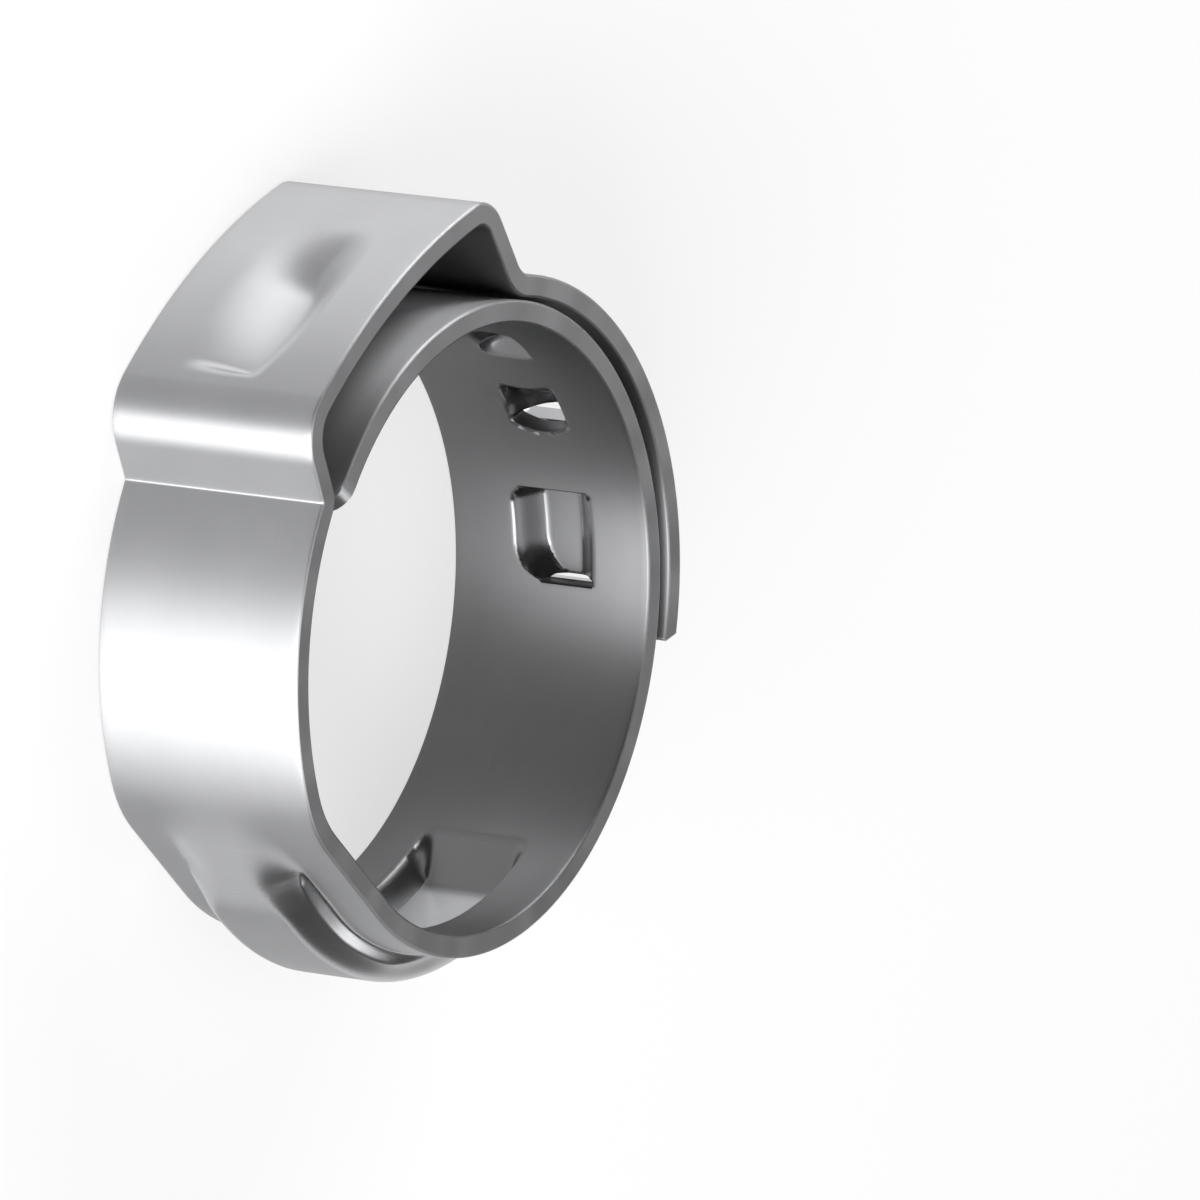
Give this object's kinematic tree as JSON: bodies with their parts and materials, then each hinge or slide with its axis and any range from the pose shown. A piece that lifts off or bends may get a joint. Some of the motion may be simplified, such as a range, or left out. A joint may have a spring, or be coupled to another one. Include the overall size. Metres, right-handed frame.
{
  "type": "ear hose clamp",
  "caption": "Stepless ear clamp bent from flat steel strip, with a raised pinch ear, a tongue in a pressed channel and hooked windows, for closing a hose onto a fitting.",
  "frame": {"origin": "on the bore axis, in the plane of the lower edge of the band, on which the clamp lies", "axes": "+Z along the bore axis, away from the surface it lies on; +Y through the middle of the ear; the outer end lies over the +X side"},
  "size_m": [0.0218, 0.0235, 0.007],
  "materials": {
    "stainless_strip": "bright stainless strip with a fine satin sheen and lightly rounded edges"
  },
  "bodies": {
    "root": {"clamp_band": "stainless_strip"}
  },
  "joints": []
}
